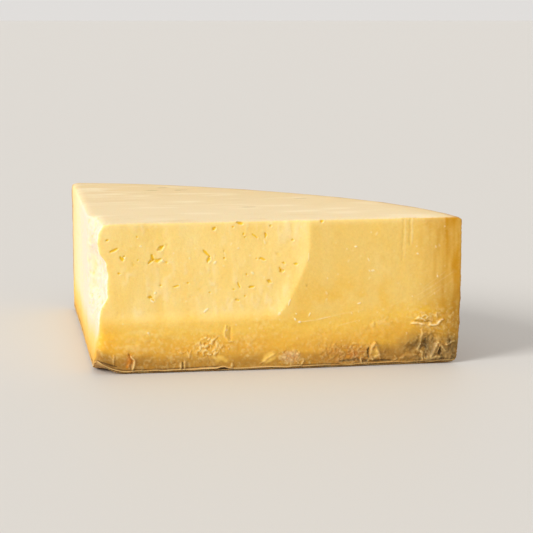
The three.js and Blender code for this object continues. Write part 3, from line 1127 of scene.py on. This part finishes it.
def grain_coats(points, depth, olive):
    """Fine pale and golden mottling, stronger towards the foot."""
    crest, hollow = rubble(points, 1.2, 345)
    patchy = 0.35 + 0.65 * smooth(noise(points, 12, 347), -0.4, 0.7)
    grainy = mix(0.12, 0.32, smooth(depth, -4, 8)) * (1 - 0.6 * olive) * patchy
    return [(PASTE_PALE, grainy * crest), (GOLD_HOLLOW, 0.8 * grainy * hollow)]


def front_colour(points, scoop):
    x, z = points[:, 0], points[:, 2]
    slow = layered(points, 24, 3, 301)
    fine = layered(points, 3.6, 3, 311)
    cloud = layered(drawn_out(points, z=0.35), 9, 3, 315)
    depth = under_rind_height(x) - z + 2.5 * slow + fine
    olive = smooth(x, 146, 176) * fade(z + 3 * slow, 8, 22)
    return coated(PASTE, [
        *paste_coats(x, z, scoop, cloud),
        *foot_coats(points, x, z, depth),
        *end_coats(points, x, z, cloud),
        *corner_coats(points, x, z, olive),
        *stain_coats(points, x, z, fine),
        *grain_coats(points, depth, olive),
    ])


def left_colour(points, edge):
    along, z = points[:, :2] @ LEFT_ALONG, points[:, 2]
    slow = layered(points, 20, 3, 351)
    fine = layered(points, 3.2, 2, 355)
    # Base colour partly the break's own paleness and partly painted light of the brightly lit side
    return coated(BROKEN_AND_LIT_PASTE, [
        (PASTE_PALE, 0.5 * smooth(along, 60, 150) + 0.35 * smooth(fine, 0.1, 0.6)),
        # Painted highlight: a pale line along the tip edge of the broken part
        (EDGE_HIGHLIGHT, edge),
        (PASTE_RIGHT, 0.5 * smooth(along, 120, 180)),
        (SKIN_RIM, smooth(along + 2 * slow, 176, 191)),
        (OCHRE, 0.85 * fade(z + 4 * slow, 12, 28)),
        (UNDER_RIND, 0.9 * fade(z + 3 * slow, 4, 15)),
        (BROWN, 0.7 * fade(z + 2 * slow, 1.5, 5)),
    ])


# The top's pale cream stands in for light and reflection at the grazing angle, over its own streaks and
# rim
def top_colour(points, from_wheel):
    flow = drawn_out(points, x=0.34)
    return coated(SKIN, [
        (SKIN_FAR, smooth(points[:, 1] + 0.35 * points[:, 0], 40, 215)),
        (SKIN_PALE, 0.7 * smooth(layered(flow, 9, 3, 361), 0, 0.7)),
        (SKIN_FAR, 0.6 * smooth(-layered(flow, 7, 4, 371), 0.05, 0.7)),
        (SKIN_FAR, 0.7 * fade(from_wheel, 6, 22)),
        (SKIN_RIM, 0.9 * fade(from_wheel + 1.5 * layered(points, 9, 2, 381), 2.5, 8)),
    ])


def rind_colour(points):
    blot = layered(points, 16, 3, 391)
    fleck = layered(points, 3.6, 3, 401)
    return coated(RIND, [
        (RIND_LIGHT, 0.7 * smooth(blot, 0, 0.7)),
        (RIND_DARK, 0.65 * smooth(-blot + 0.4 * fleck, 0, 0.8)),
        (RIND_LIGHT, 0.4 * smooth(fleck, 0.3, 0.8)),
    ])


def painted(points, shares):
    """Each point's colour, in linear light."""
    x, z = points[:, 0], points[:, 2]
    low = fade(z, 20, 30)
    # Painted shade: pit floors and hollows take a deeper gold, and brown low down towards the rind
    hollow = coated(EYE_FLOOR, [(GOLD_HOLLOW, low), (BROWN, low * smooth(x, 138, 152))])
    crumb = coated(PALE, [(CRUMB, fade(z, 16, 24) * (1 - shares["left"]))])
    return coated(front_colour(points, shares["scoop"]), [
        (left_colour(points, shares["tip_edge_highlight"]), shares["left"]),
        (top_colour(points, shares["from_wheel"]), shares["top"]),
        (rind_colour(points), shares["rind"]),
        (LIP, shares["lip"] * mix(1, 0.4, smooth(x, 110, 124))),
        (SEAM, shares["seam"]),
        (DARK, shares["dark"]),
        (hollow, 0.9 * shares["pit"]),
        # The pale share is the paste's pale crumbs and crystals, together with painted highlights on eye
        # rims and glints
        (crumb, 0.9 * shares["pale"]),
    ])


# ---------------------------------------------------------------- the finished mesh

def face_shares(points, facing):
    """How far each point belongs to the front cut, left cut, top, base and rind wall."""
    front = smooth(-facing[:, 1], 0.45, 0.80)
    left = smooth(facing[:, :2] @ LEFT_OUT, 0.35, 0.75) * (1 - front)
    top, base = smooth(facing[:, 2], 0.55, 0.90), smooth(-facing[:, 2], 0.55, 0.90)
    spoke = points[:, :2] - WHEEL_CENTRE
    outward = (facing[:, :2] * spoke).sum(axis=1) / np.linalg.norm(spoke, axis=1)
    rind = smooth(outward, 0.3, 0.7) * fade(depths(points)[2], 6, 9) * (1 - front) * (1 - left)
    return front, left, top, base, rind


def detailed(points, triangles):
    """Moves the skin by its fine shape and works out what each point is made of."""
    x, y, z = points.T
    facing = normals_of(points, triangles)
    front_share, left_share, top_share, base_share, rind_share = face_shares(points, facing)
    front_depth, _, wheel_depth = depths(points)
    front, scoop = front_detail(points)
    left, broken = left_detail(points)
    top_height, top_spot = top_detail(points)
    rind_height, rind_crack = rind_detail(points)
    lip_height, lip, seam, undercut_and_shade = rind_lip(points)
    foot = fade(z, 3, 5) * np.maximum(front_share, left_share)

    height = (front_share * front.height + left_share * left.height) * smooth(z, 0.8, 2.2)
    height += top_share * top_height + rind_share * rind_height + foot * lip_height
    height -= 0.4 * base_share * np.abs(layered(points, 12, 3, 271))
    moved = points + facing * height[:, None]
    moved[:, 2] += top_relief(x, y) * (np.clip(z, 0, HEIGHT) / HEIGHT) ** 6 + tip_curl(x, y, z)
    moved[:, 2] = np.maximum(moved[:, 2], 0)

    seam = 0.8 * foot * seam + 0.2 * rind_share * rind_crack + 0.4 * top_share * top_spot
    shares = {
        "pit": front_share * front.pit + 0.5 * left_share * left.pit,
        "pale": front_share * front.pale + left_share * left.pale,
        # The dark share is painted shade below the rind lip, in grooves and in the dips of the folds, and
        # also a real dark speck.
        "dark": np.maximum(front_share * front.dark, foot * undercut_and_shade),
        "scoop": scoop,
        "left": left_share,
        "top": top_share,
        "rind": np.clip(rind_share + base_share, 0, 1),
        "lip": foot * lip,
        "seam": seam,
        # Painted highlight along the tip edge of the left cut's broken part
        "tip_edge_highlight": broken * fade(front_depth, 1, 5),
        "from_wheel": wheel_depth,
    }
    return moved, shares


def built_mesh(name):
    sharp, triangles = wedge_skin()
    points = softened(sharp, triangles)
    moved, shares = detailed(points, triangles)
    mesh = bpy.data.meshes.new(name)
    places = moved * MM + np.array(TIP_IN_FRAME)
    mesh.from_pydata(places.tolist(), [], triangles.tolist())
    mesh.shade_smooth()
    colour = np.concatenate([painted(points, shares), np.ones((len(points), 1))], axis=1)
    layer = mesh.attributes.new("paint", "FLOAT_COLOR", "POINT")
    layer.data.foreach_set("color", colour.astype(np.float32).ravel())
    dryness = np.clip(shares["rind"] + 0.7 * shares["top"] + 0.3 * shares["left"], 0, 1)
    layer = mesh.attributes.new("dryness", "FLOAT", "POINT")
    layer.data.foreach_set("value", dryness.astype(np.float32))
    mesh.update()
    return mesh


# ---------------------------------------------------------------- material

def cheese_material():
    """Waxy paste and dry rind: the painted colour with a fine grain, tiny bumps and soft light inside."""
    material = bpy.data.materials.new("cheese")
    material.use_nodes = True
    nodes, links = material.node_tree.nodes, material.node_tree.links
    shader = nodes["Principled BSDF"]
    shader.inputs["Subsurface Weight"].default_value = 0.18
    shader.inputs["Subsurface Radius"].default_value = (0.0030, 0.0015, 0.0006)
    shader.inputs["Subsurface Scale"].default_value = 1
    shader.inputs["IOR"].default_value = 1.45
    shader.inputs["Specular IOR Level"].default_value = 0.3

    place = nodes.new("ShaderNodeTexCoord")
    colour = nodes.new("ShaderNodeAttribute")
    colour.attribute_name = "paint"
    dryness = nodes.new("ShaderNodeAttribute")
    dryness.attribute_name = "dryness"

    grain = nodes.new("ShaderNodeTexNoise")
    grain.inputs["Scale"].default_value = 900
    grain.inputs["Detail"].default_value = 4
    links.new(place.outputs["Object"], grain.inputs["Vector"])
    tone = nodes.new("ShaderNodeMapRange")
    tone.inputs["To Min"].default_value = 0.93
    tone.inputs["To Max"].default_value = 1.07
    links.new(grain.outputs["Fac"], tone.inputs["Value"])
    tinted = nodes.new("ShaderNodeVectorMath")
    tinted.operation = "SCALE"
    links.new(colour.outputs["Color"], tinted.inputs[0])
    links.new(tone.outputs["Result"], tinted.inputs["Scale"])
    links.new(tinted.outputs["Vector"], shader.inputs["Base Color"])

    rough = nodes.new("ShaderNodeMapRange")
    rough.inputs["To Min"].default_value = 0.46
    rough.inputs["To Max"].default_value = 0.85
    links.new(dryness.outputs["Fac"], rough.inputs["Value"])
    links.new(rough.outputs["Result"], shader.inputs["Roughness"])

    bumps = nodes.new("ShaderNodeBump")
    bumps.inputs["Strength"].default_value = 0.35
    bumps.inputs["Distance"].default_value = 0.0003
    links.new(grain.outputs["Fac"], bumps.inputs["Height"])
    links.new(bumps.outputs["Normal"], shader.inputs["Normal"])
    return material


def plain_material(name, colour, roughness):
    material = bpy.data.materials.new(name)
    material.use_nodes = True
    shader = material.node_tree.nodes["Principled BSDF"]
    shader.inputs["Base Color"].default_value = (*colour, 1)
    shader.inputs["Roughness"].default_value = roughness
    return material


# ---------------------------------------------------------------- light, floor and camera

LIGHT_FROM = Vector((-0.796, -0.341, 0.50)).normalized()
LIGHT_ANGLE = math.radians(26)
LIGHT_STRENGTH = 2.42
SKY = (0.75, 0.73, 0.71)
FLOOR_SIZE = 400
FLOOR_COLOUR = srgb(210, 207, 202)
CAMERA_AT = Vector((-35.8, -773, 184.5)) * MM
CAMERA_HEADING = Vector((0.1535, 0.988, 0)).normalized()
CAMERA_PITCH = math.radians(9.36)
CAMERA_LENS = 101.3


def add_floor():
    bpy.ops.mesh.primitive_plane_add(size=FLOOR_SIZE, location=(0, 0, -0.0002))
    floor = bpy.context.object
    floor.name = "floor"
    floor.data.materials.append(plain_material("floor", FLOOR_COLOUR, 0.6))


def add_light():
    lamp = bpy.data.lights.new("window", "SUN")
    lamp.angle = LIGHT_ANGLE
    lamp.energy = LIGHT_STRENGTH
    lamp.color = (1, 0.99, 0.97)
    window = bpy.data.objects.new("window", lamp)
    window.rotation_euler = LIGHT_FROM.to_track_quat("Z", "Y").to_euler()
    bpy.context.scene.collection.objects.link(window)

    world = bpy.data.worlds.new("room")
    world.use_nodes = True
    world.node_tree.nodes["Background"].inputs["Color"].default_value = (*SKY, 1)
    bpy.context.scene.world = world


def add_camera():
    lens = bpy.data.cameras.new("camera")
    lens.lens = CAMERA_LENS
    lens.sensor_width = 36
    lens.clip_end = 500
    camera = bpy.data.objects.new("camera", lens)
    ahead = CAMERA_HEADING * math.cos(CAMERA_PITCH) - Vector((0, 0, math.sin(CAMERA_PITCH)))
    camera.location = TIP_IN_FRAME + CAMERA_AT
    camera.rotation_euler = ahead.to_track_quat("-Z", "Y").to_euler()
    bpy.context.scene.collection.objects.link(camera)
    bpy.context.scene.camera = camera


def add_wedge():
    mesh = built_mesh("cheese_wedge_look")
    mesh.materials.append(cheese_material())
    wedge = bpy.data.objects.new("cheese_wedge_look", mesh)
    bpy.context.scene.collection.objects.link(wedge)
    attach(wedge, "root")
    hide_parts("cheese_wedge")


add_wedge()
add_floor()
add_light()
add_camera()
bpy.context.scene.view_settings.view_transform = "Standard"
